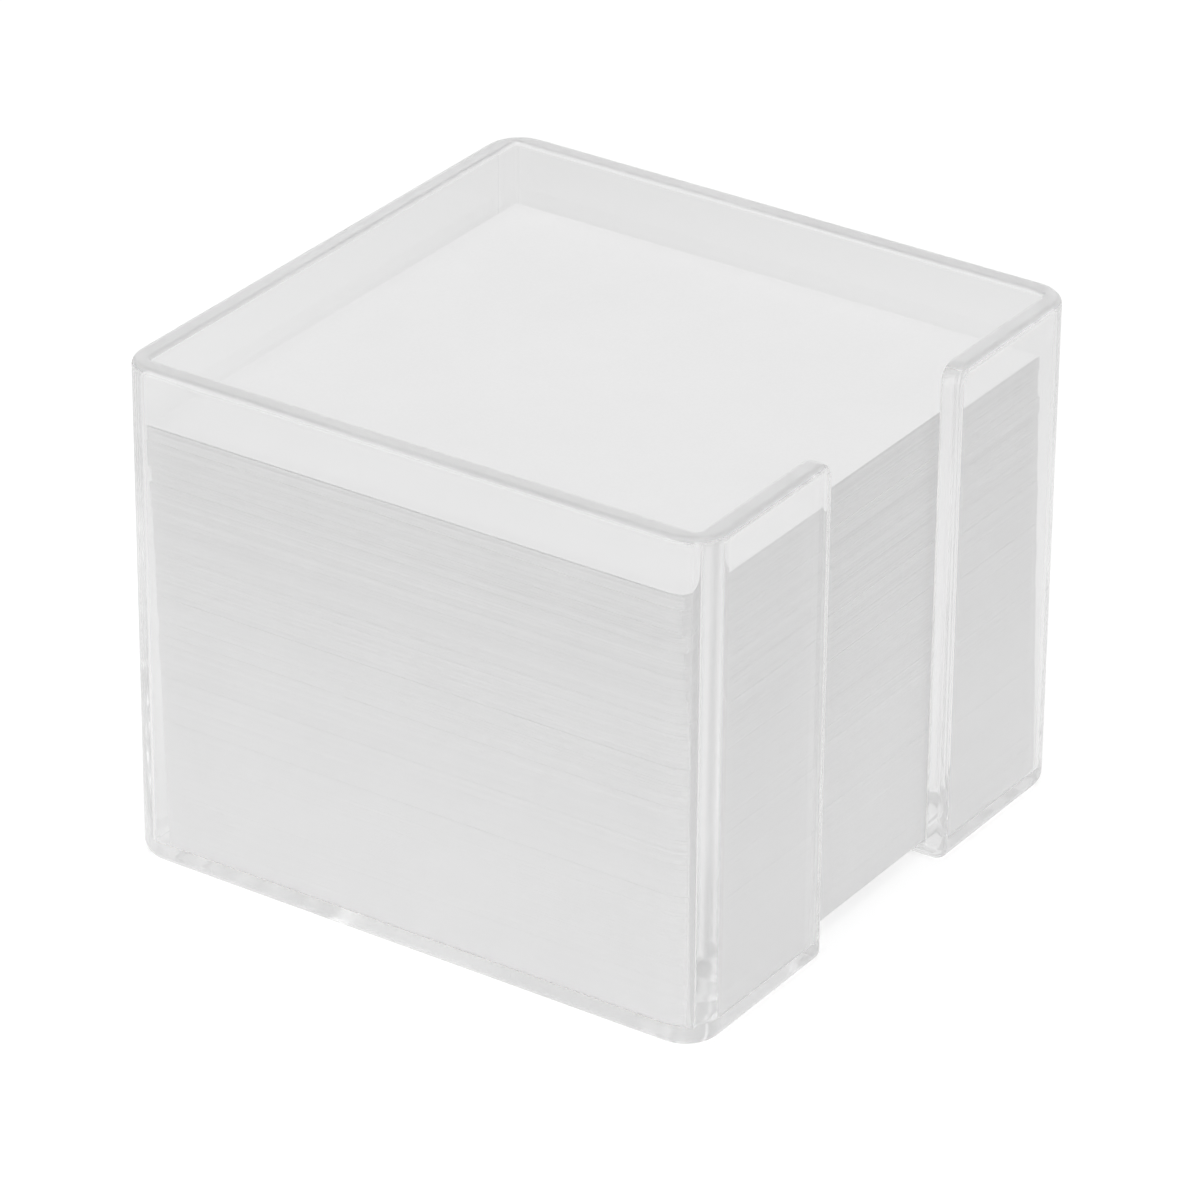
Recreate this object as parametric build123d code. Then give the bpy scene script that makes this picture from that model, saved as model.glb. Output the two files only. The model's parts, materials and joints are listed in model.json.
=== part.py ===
from build123d import *
import os

# A clear open-topped memo box with a loose stack of note sheets.
# Millimetres, +Z up. The finger slot faces -Y. The origin is on the table, under the middle of the box.

# Note sheets: square, and as high as the loose stack stands
sheet_width = 90.0
stack_height = 68.2

# The stack, from the bottom: lifts of sheets that were cut together, then three single sheets
lift_sheet_counts = [40, 27, 36, 32, 44, 29, 35, 38, 26, 41, 33, 30, 43, 28, 37, 34, 39, 25, 41, 21]
single_sheet_names = ["third_sheet", "second_sheet", "top_sheet"]

# How far a lift or a single sheet may sit out of line, and each one's share of it, across and along
lift_slip = 0.15
lift_slip_shares = [
    (0.2, -0.4), (-0.5, 0.3), (0.1, 0.6), (0.7, -0.2), (-0.2, -0.7),
    (-0.8, 0.1), (0.4, 0.5), (-0.1, -0.3), (0.9, 0.2), (-0.4, 0.8),
    (0.3, -0.6), (-0.7, -0.1), (0.5, 0.4), (-0.3, -0.9), (0.6, 0.7),
    (-0.6, -0.5), (0.0, 0.2), (0.8, -0.8), (-0.9, 0.5), (0.3, -0.1),
]
single_slip_shares = [(-0.4, 0.6), (0.7, -0.3), (0.0, 0.0)]

# Room around the stack, whose foot has slid forward, so that it leans
left_gap = 0.3
right_gap = 0.7
back_gap = 0.65
front_gap = 2.35
foot_gap = 0.45
headroom = 9.8

# The box, one clear moulding
wall = 3.5
base = 2.4
outer_corner_radius = 6.0
bottom_edge_radius = 2.1
cavity_corner_radius = 1.5
outer_edge_rounding = 1.2
inner_edge_rounding = 0.75
outer_rounding_share = 0.58
inner_rounding_share = 0.38

# The finger slot in the front wall, and the notch that it cuts into the base
slot_width = 33.0
notch_straight = 10.3
panel_corner_radius = 3.0

# One overrun serves all cuts, and one tolerance all tests of place
overrun = 1.0
touch = 0.01

# Worked-out sizes
sheet_count = sum(lift_sheet_counts) + len(single_sheet_names)
sheet_thickness = stack_height / sheet_count
cavity_width = left_gap + sheet_width + right_gap
cavity_depth = front_gap + sheet_width + back_gap
outer_width = cavity_width + 2 * wall
outer_depth = cavity_depth + 2 * wall
outer_height = base + stack_height + headroom
front_face = -outer_depth / 2
slot_end = front_face + notch_straight + slot_width / 2

# The roundings share the moulding where it is thinnest, at the bottom corner that the slot cuts across
thin_across = max(bottom_edge_radius - wall, 0)
thin_up = max(bottom_edge_radius - base, 0)
thinnest = min(wall, base, bottom_edge_radius - (thin_across**2 + thin_up**2) ** 0.5)
outer_rounding = min(outer_edge_rounding, thinnest * outer_rounding_share)
inner_rounding = min(inner_edge_rounding, thinnest * inner_rounding_share)

# The cavity's own roundings stay clear of the sheets' square corners and edges
side_room = min(left_gap, right_gap) - lift_slip
end_room = min(front_gap, foot_gap, back_gap) - lift_slip
corner_limit = side_room + end_room + (2 * side_room * end_room) ** 0.5
cavity_rounding = min(cavity_corner_radius, corner_limit)
floor_rounding = min(side_room, end_room)

# Where the stack starts
stack_left = -cavity_width / 2 + left_gap
stack_front = -cavity_depth / 2 + front_gap
stack_lean = (front_gap - foot_gap) / stack_height
on_floor = (Align.CENTER, Align.CENTER, Align.MIN)
from_corner = (Align.MIN, Align.MIN, Align.MIN)


def outer_block():
    block = Box(outer_width, outer_depth, outer_height, align=on_floor)
    block = fillet(block.edges().filter_by(Axis.Z), outer_corner_radius)
    return fillet(block.faces().sort_by(Axis.Z)[0].edges(), bottom_edge_radius)


def cavity_block():
    block = Box(cavity_width, cavity_depth, outer_height - base + overrun, align=on_floor)
    block = fillet(block.edges().filter_by(Axis.Z), cavity_rounding)
    block = fillet(block.faces().sort_by(Axis.Z)[0].edges(), floor_rounding)
    return Pos(0, 0, base) * block


def slot_block():
    straight = notch_straight + overrun
    height = outer_height + 2 * overrun
    channel = Box(slot_width, straight, height, align=(Align.CENTER, Align.MIN, Align.MIN))
    round_end = Pos(0, straight, 0) * Cylinder(slot_width / 2, height, align=on_floor)
    return Pos(0, front_face - overrun, -overrun) * (channel + round_end)


def is_slot_face(face):
    middle = face.bounding_box().center()
    return abs(middle.X) < slot_width / 2 + panel_corner_radius and middle.Y < slot_end


def cut_edges(body):
    rim = body.faces().sort_by(Axis.Z)[-1]
    edges = rim.edges()
    for face in body.faces().filter_by(is_slot_face):
        edges += face.edges()
    return [edge for edge in edges if sum(edge.is_same(other) for other in edges) == 1]


def is_on_cavity(edge):
    spot = edge.position_at(0.5)
    across = abs(spot.X) < cavity_width / 2 + touch
    along = abs(spot.Y) < cavity_depth / 2 + touch
    return across and along and spot.Z > base - touch


def clear_box():
    body = outer_block() - cavity_block() - slot_block()
    rim = body.faces().sort_by(Axis.Z)[-1]
    panel_corners = [
        edge for edge in rim.edges().filter_by(Axis.Y)
        if abs(edge.center().X) < slot_width / 2 + overrun and edge.center().Y < 0
    ]
    body = fillet(panel_corners, panel_corner_radius)
    body = fillet([edge for edge in cut_edges(body) if not is_on_cavity(edge)], outer_rounding)
    return fillet([edge for edge in cut_edges(body) if is_on_cavity(edge)], inner_rounding)


def lift(count, bottom, shares):
    left = stack_left + lift_slip * shares[0]
    sheets = []
    for number in range(count):
        level = bottom + number * sheet_thickness
        front = stack_front + lift_slip * shares[1] - stack_lean * (base + stack_height - level)
        sheet = Box(sheet_width, sheet_width, sheet_thickness, align=from_corner)
        sheets.append(Pos(left, front, level) * sheet)
    return sheets


def write(name, solids):
    shape = solids[0] if len(solids) == 1 else Compound(solids)
    export_step(shape, f"parts/{name}.step")


os.makedirs("parts", exist_ok=True)
write("clear_box", [clear_box()])

level = base
for number, (count, shares) in enumerate(zip(lift_sheet_counts, lift_slip_shares), start=1):
    write(f"sheet_lift_{number:02d}", lift(count, level, shares))
    level += count * sheet_thickness
for name, shares in zip(single_sheet_names, single_slip_shares):
    write(name, lift(1, level, shares))
    level += sheet_thickness

print(f"{sheet_count} sheets of {sheet_thickness:.3f}, box {outer_width:.1f} x {outer_depth:.1f} x {outer_height:.1f}")
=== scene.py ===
import json
import math

import bpy
from mathutils import Matrix, Vector


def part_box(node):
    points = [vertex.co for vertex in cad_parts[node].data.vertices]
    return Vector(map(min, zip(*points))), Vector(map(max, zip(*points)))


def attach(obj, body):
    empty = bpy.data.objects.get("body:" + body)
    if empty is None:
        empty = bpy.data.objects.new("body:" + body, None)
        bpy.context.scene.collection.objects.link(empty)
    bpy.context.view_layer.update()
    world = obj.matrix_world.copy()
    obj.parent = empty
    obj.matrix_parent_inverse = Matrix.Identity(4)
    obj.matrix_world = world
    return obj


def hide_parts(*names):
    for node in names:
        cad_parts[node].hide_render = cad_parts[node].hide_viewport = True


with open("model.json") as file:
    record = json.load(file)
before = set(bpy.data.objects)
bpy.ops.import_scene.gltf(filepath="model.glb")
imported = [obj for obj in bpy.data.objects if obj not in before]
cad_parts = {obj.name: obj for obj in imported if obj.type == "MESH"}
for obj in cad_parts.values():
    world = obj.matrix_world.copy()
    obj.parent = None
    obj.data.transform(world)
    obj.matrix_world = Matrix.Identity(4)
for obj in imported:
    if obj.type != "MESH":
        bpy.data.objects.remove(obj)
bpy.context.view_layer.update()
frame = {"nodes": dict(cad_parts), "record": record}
scene = bpy.context.scene
scene.view_settings.view_transform = "Standard"

bounceValues = {"plastic": 96, "paper": 8}  # light runs far inside clear walls
for kind in ("max_bounces", "transmission_bounces", "glossy_bounces"):
    setattr(scene.cycles, kind, bounceValues["plastic"])
scene.cycles.diffuse_bounces = bounceValues["paper"]
scene.cycles.blur_glossy = 0.0  # else the paper behind the walls is too dark


class Strand:  # a socket of a node tree, usable in sums

    def __init__(self, tree, socket=None):
        self.tree, self.socket = tree, socket

    def node(self, kind, settings=None, sockets=None, output=0):
        made = self.tree.nodes.new(kind)
        for name, value in (settings or {}).items():
            setattr(made, name, value)
        for name, value in (sockets or {}).items():
            if isinstance(value, Strand):
                self.tree.links.new(value.socket, made.inputs[name])
            else:
                made.inputs[name].default_value = value
        return Strand(self.tree, made.outputs[output]) if len(made.outputs) else made

    def other(self, output):  # another output of the same node
        return Strand(self.tree, self.socket.node.outputs[output])

    def sum(self, operation, left, right):
        return self.node("ShaderNodeMath", {"operation": operation}, {0: left, 1: right})

    def __add__(self, value):
        return self.sum("ADD", self, value)

    def __radd__(self, value):
        return self.sum("ADD", value, self)

    def __sub__(self, value):
        return self.sum("SUBTRACT", self, value)

    def __rsub__(self, value):
        return self.sum("SUBTRACT", value, self)

    def __mul__(self, value):
        return self.sum("MULTIPLY", self, value)

    def __rmul__(self, value):
        return self.sum("MULTIPLY", value, self)

    def most(self, value):
        return self.sum("MAXIMUM", self, value)


def newMaterial(name):
    material = bpy.data.materials.new(name)
    material.use_nodes = True
    material.node_tree.nodes.clear()
    return material, Strand(material.node_tree)


# camera, at the photograph's angle
cameraValues = {
    "azimuth": -56.283, "elevation": 28.309, "roll": 0.549,  # degrees
    "distance": 0.991045, "aimAcross": 0.002723, "aimHeight": 0.031097,  # metres
    "focalPixels": 6769.72, "framePixels": 1200.0, "middle": (617.80, 629.07),
    "sensor": 36.0, "nearest": 0.05, "farthest": 50.0,
}


def addCamera(values):
    azimuth, elevation, roll = (math.radians(values[key]) for key in ("azimuth", "elevation", "roll"))
    level = math.cos(elevation)
    look = Vector((-math.sin(azimuth) * level, math.cos(azimuth) * level, -math.sin(elevation)))
    right = look.cross(Vector((0, 0, 1))).normalized()
    up = right.cross(look)
    across = right * math.cos(roll) + up * math.sin(roll)
    upward = up * math.cos(roll) - right * math.sin(roll)
    eye = right * values["aimAcross"] + Vector((0, 0, values["aimHeight"])) - look * values["distance"]
    data = bpy.data.cameras.new("camera")
    data.sensor_width = values["sensor"]
    data.lens = values["focalPixels"] / values["framePixels"] * data.sensor_width
    data.shift_x = 0.5 - values["middle"][0] / values["framePixels"]
    data.shift_y = values["middle"][1] / values["framePixels"] - 0.5
    data.clip_start, data.clip_end = values["nearest"], values["farthest"]
    camera = bpy.data.objects.new("camera", data)
    turn = Matrix((across, upward, -look)).transposed().to_4x4()
    camera.matrix_world = Matrix.Translation(eye) @ turn
    scene.collection.objects.link(camera)
    scene.camera = camera


addCamera(cameraValues)
print("camera placed")


# soft studio light: a pale tent, brighter at the left, front and back, and a soft box overhead
tentValues = {"all": 0.335, "left": 0.83, "front": 0.39, "back": 0.54, "backWay": (0.83, 0.56)}
softBoxValues = {"place": (0.0, 0.0, 0.9), "size": 0.6, "power": 2.2}


def addTent(values):
    world = bpy.data.worlds.new("studio")
    scene.world = world
    world.use_nodes = True
    world.node_tree.nodes.clear()
    net = Strand(world.node_tree)
    way = net.node("ShaderNodeTexCoord", output="Generated")
    across = net.node("ShaderNodeSeparateXYZ", None, {"Vector": way}, "X")
    along = across.other("Y")
    left, front = (across * -1.0).most(0.0), (along * -1.0).most(0.0)
    back = (across * values["backWay"][0] + along * values["backWay"][1]).most(0.0)
    shade = values["all"] + left * values["left"] + front * values["front"] + back * values["back"]
    seen = net.node("ShaderNodeLightPath", output="Is Camera Ray")
    strength = shade + seen * (1.0 - shade)  # the camera sees plain white
    light = net.node("ShaderNodeBackground", None, {"Color": (1, 1, 1, 1), "Strength": strength})
    net.node("ShaderNodeOutputWorld", None, {"Surface": light})


def addSoftBox(values):
    data = bpy.data.lights.new("overhead", "AREA")
    data.shape, data.size, data.energy = "SQUARE", values["size"], values["power"]
    lamp = bpy.data.objects.new("overhead", data)
    lamp.location = values["place"]  # an area lamp faces down
    lamp.visible_camera = False
    scene.collection.objects.link(lamp)


addTent(tentValues)
addSoftBox(softBoxValues)
print("lights placed: tent and overhead soft box")


# pale floor, a light table that glows a little round the object, white to the camera and with a light shadow
floorValues = {
    "reach": 12.0, "drop": 0.0002,  # a hair of air under the base, so that the clear base glints
    "shade": 0.8, "pool": 0.145, "poolNear": 0.06, "poolFar": 0.3,
    "whitening": 0.6, "shadowShade": 0.5,
}


def glowing(net, shade, glow):  # a plain matt surface that also gives light
    return net.node("ShaderNodeAddShader", None, {
        0: net.node("ShaderNodeBsdfDiffuse", None, {"Color": (shade, shade, shade, 1)}),
        1: net.node("ShaderNodeEmission", None, {"Strength": glow})})


def addFloor(values):
    reach, level = values["reach"], -values["drop"]
    corners = [(-reach, -reach, level), (reach, -reach, level), (reach, reach, level), (-reach, reach, level)]
    mesh = bpy.data.meshes.new("floor")
    mesh.from_pydata(corners, [], [(0, 1, 2, 3)])
    floor = bpy.data.objects.new("floor", mesh)
    scene.collection.objects.link(floor)
    material, net = newMaterial("paleFloor")
    spot = net.node("ShaderNodeTexCoord", output="Object")
    distance = net.node("ShaderNodeVectorMath", {"operation": "LENGTH"}, {0: spot}, "Value")
    pool = net.node("ShaderNodeMapRange", {"interpolation_type": "SMOOTHSTEP"}, {
        "Value": distance, "From Min": values["poolNear"], "From Max": values["poolFar"],
        "To Min": values["pool"], "To Max": 0.0})
    plain = glowing(net, values["shade"], pool)
    white = glowing(net, values["shadowShade"], values["whitening"])
    seen = net.node("ShaderNodeLightPath", output="Is Camera Ray")
    mixed = net.node("ShaderNodeMixShader", None, {0: seen, 1: plain, 2: white})
    net.node("ShaderNodeOutputMaterial", None, {"Surface": mixed})
    mesh.materials.append(material)


addFloor(floorValues)
print("floor laid")


# clear moulded box: the CAD solid with a clear plastic finish
plasticValues = {
    "tint": (0.988, 0.988, 0.988), "index": 1.57, "polish": 0.06,
    "haze": 0.4,  # dims long ways inside the walls
    "smudge": 0.03, "smudgeScale": 45.0, "smudgeDetail": 3.0, "smudgeFrom": 0.55, "smudgeTo": 0.8,
    "ripple": 0.001, "rippleScale": 60.0, "rippleDetail": 1.0, "rippleHeight": 0.001,
    "frost": 0.22, "frostDepth": 0.0019, "frostFade": 0.0015,  # the rim is less polished
}


def noise(net, spot, scale, detail):
    return net.node("ShaderNodeTexNoise", None, {"Vector": spot, "Scale": scale, "Detail": detail}, "Fac")


def clearPlastic(values):
    material, net = newMaterial("clearPlastic")
    spot = net.node("ShaderNodeTexCoord", output="Object")
    smudges = net.node("ShaderNodeMapRange", None, {
        "Value": noise(net, spot, values["smudgeScale"], values["smudgeDetail"]),
        "From Min": values["smudgeFrom"], "From Max": values["smudgeTo"], "To Min": 0.0, "To Max": 1.0})
    ripples = noise(net, spot, values["rippleScale"], values["rippleDetail"])
    bump = net.node("ShaderNodeBump", None, {
        "Strength": values["ripple"], "Distance": values["rippleHeight"], "Height": ripples})
    height = net.node("ShaderNodeSeparateXYZ", None, {0: spot}, "Z")
    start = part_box("clear_box")[1].z - values["frostDepth"]
    frost = net.node("ShaderNodeMapRange", {"interpolation_type": "SMOOTHSTEP"}, {
        "Value": height, "From Min": start, "From Max": start + values["frostFade"],
        "To Min": 0.0, "To Max": values["frost"]})
    surface = net.node("ShaderNodeBsdfPrincipled", None, {
        "Base Color": (*values["tint"], 1), "Transmission Weight": 1.0, "IOR": values["index"],
        "Roughness": values["polish"] + smudges * values["smudge"] + frost, "Normal": bump})
    haze = net.node("ShaderNodeVolumeAbsorption", None, {"Color": (0, 0, 0, 1), "Density": values["haze"]})
    net.node("ShaderNodeOutputMaterial", None, {"Surface": surface, "Volume": haze})
    return material


clearBox = frame["nodes"]["clear_box"]
clearBox.data.materials[0] = clearPlastic(plasticValues)
print("box finished")


# note sheets: one point for each lift, and the node tree lays the sheets on it
paperValues = {
    "shade": (0.858, 0.857, 0.858), "roughness": 0.9, "sheen": 0.25, "tone": 0.06,
    "fibre": 0.04, "fibreScale": 2600.0, "fibreDetail": 3.0, "fibreBump": 0.15, "fibreHeight": 0.00002,
    "cloud": 0.03, "cloudScale": 90.0, "cloudDetail": 2.0, "noiseMean": 0.5,
}
sheetValues = {
    "thickness": 0.0001, "filled": 0.96, "drift": 0.00004, "turn": 0.0003, "seed": 7,
    "pressed": 0.15, "easing": 1.5,  # weight keeps the lower sheets in line
}


def notePaper(values):
    material, net = newMaterial("notePaper")
    spot = net.node("ShaderNodeTexCoord", output="Object")
    tone = net.node("ShaderNodeAttribute", {"attribute_name": "tone"}, None, "Fac")
    fibres = noise(net, spot, values["fibreScale"], values["fibreDetail"])
    clouds = noise(net, spot, values["cloudScale"], values["cloudDetail"])
    mask = (1.0 - tone * values["tone"] - (fibres - values["noiseMean"]) * values["fibre"]
            - (clouds - values["noiseMean"]) * values["cloud"])
    shade = net.node("ShaderNodeVectorMath", {"operation": "SCALE"}, {0: values["shade"], "Scale": mask})
    bump = net.node("ShaderNodeBump", None, {
        "Strength": values["fibreBump"], "Distance": values["fibreHeight"], "Height": fibres})
    surface = net.node("ShaderNodeBsdfPrincipled", None, {
        "Base Color": shade, "Roughness": values["roughness"], "Specular IOR Level": values["sheen"],
        "Normal": bump})
    net.node("ShaderNodeOutputMaterial", None, {"Surface": surface})
    return material


def sheetTree(name):
    tree = bpy.data.node_groups.new(name, "GeometryNodeTree")
    face = tree.interface
    face.new_socket("Geometry", in_out="INPUT", socket_type="NodeSocketGeometry")
    for label, kind in (("Side", "Float"), ("Thickness", "Float"), ("Filled", "Float"), ("Drift", "Float"),
                        ("Lean", "Float"), ("Turn", "Float"), ("Seed", "Int"), ("Paper", "Material")):
        face.new_socket(label, in_out="INPUT", socket_type="NodeSocket" + kind)
    face.new_socket("Geometry", in_out="OUTPUT", socket_type="NodeSocketGeometry")
    net = Strand(tree)
    given = net.node("NodeGroupInput", output="Geometry")
    side, thickness, seed = given.other("Side"), given.other("Thickness"), given.other("Seed")
    filled, drift, lean, turn = (given.other(label) for label in ("Filled", "Drift", "Lean", "Turn"))

    def named(label, kind):
        return net.node("GeometryNodeInputNamedAttribute", {"data_type": kind}, {"Name": label}, "Attribute")

    count, slack = named("sheets", "INT"), named("slack", "FLOAT")
    lifted = net.node("GeometryNodeDuplicateElements", {"domain": "POINT"},
                      {"Geometry": given, "Amount": count}, "Geometry")
    index = net.node("GeometryNodeInputIndex")

    def scatter(low, high, step):
        return net.node("FunctionNodeRandomValue", {"data_type": "FLOAT"},
                        {"Min": low, "Max": high, "ID": index, "Seed": seed + step}, "Value")

    level = lifted.other("Duplicate Index") * thickness
    slip = net.node("ShaderNodeCombineXYZ", None, {
        "X": scatter(-1.0, 1.0, 1) * drift * slack,
        "Y": scatter(-1.0, 1.0, 2) * drift * slack + level * lean, "Z": level})
    points = net.node("GeometryNodeSetPosition", None, {"Geometry": lifted, "Offset": slip})
    size = net.node("ShaderNodeCombineXYZ", None, {"X": side, "Y": side, "Z": thickness * filled})
    sheet = net.node("GeometryNodeMeshCube", None,
                     {"Size": size, "Vertices X": 2, "Vertices Y": 2, "Vertices Z": 2}, "Mesh")
    twist = net.node("ShaderNodeCombineXYZ", None, {"Z": scatter(-1.0, 1.0, 3) * turn})
    spread = net.node("GeometryNodeInstanceOnPoints", None,
                      {"Points": points, "Instance": sheet, "Rotation": twist})
    toned = net.node("GeometryNodeStoreNamedAttribute", {"data_type": "FLOAT", "domain": "INSTANCE"},
                     {"Geometry": spread, "Name": "tone", "Value": scatter(0.0, 1.0, 4) * slack})
    solid = net.node("GeometryNodeRealizeInstances", None, {"Geometry": toned})
    done = net.node("GeometryNodeSetMaterial", None, {"Geometry": solid, "Material": given.other("Paper")})
    net.node("NodeGroupOutput", None, {"Geometry": done})
    return tree


def addSheets(body, tree, paper, values):
    nodes = list(frame["record"]["behaviour"]["bodies"][body])
    thickness, pressed = values["thickness"], values["pressed"]
    places, counts, slacks = [], [], []
    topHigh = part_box("top_sheet")[1]
    head, foot = (sum(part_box(name), Vector()) / 2 for name in ("top_sheet", "sheet_lift_01"))
    lean = (head.y - foot.y) / (head.z - foot.z)
    for name in nodes:
        low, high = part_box(name)
        counts.append(round((high.z - low.z) / thickness))
        slack = pressed + (1.0 - pressed) * (high.z / topHigh.z) ** values["easing"]
        centre = (low + high) / 2
        line = Vector((head.x, head.y + lean * (centre.z - head.z), centre.z))
        place = line + (centre - line) * slack
        places.append((place.x, place.y - lean * (high.z - low.z) / 2, low.z + thickness / 2))
        slacks.append(slack)
        side = high.x - low.x
    mesh = bpy.data.meshes.new(body + "Points")
    mesh.from_pydata(places, [], [])
    mesh.attributes.new("sheets", "INT", "POINT").data.foreach_set("value", counts)
    mesh.attributes.new("slack", "FLOAT", "POINT").data.foreach_set("value", slacks)
    source = bpy.data.objects.new(body + "Points", mesh)
    scene.collection.objects.link(source)
    layer = source.modifiers.new("sheets", "NODES")
    layer.node_group = tree
    wanted = {"Side": side, "Thickness": thickness, "Filled": values["filled"], "Drift": values["drift"],
              "Lean": lean, "Turn": values["turn"], "Seed": values["seed"], "Paper": paper}
    for item in tree.interface.items_tree:
        if item.in_out == "INPUT" and item.name in wanted:
            layer[item.identifier] = wanted[item.name]
    bpy.context.view_layer.update()
    plain = bpy.data.meshes.new_from_object(source.evaluated_get(bpy.context.evaluated_depsgraph_get()))
    bpy.data.objects.remove(source)
    piece = bpy.data.objects.new(body + "Paper", plain)
    scene.collection.objects.link(piece)
    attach(piece, body)
    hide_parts(*nodes)
    print(body, "laid:", sum(counts), "sheets")


paper = notePaper(paperValues)
laying = sheetTree("laySheets")
for body in ("lower_sheets", "middle_sheets", "upper_sheets", "top_sheet"):
    addSheets(body, laying, paper, sheetValues)
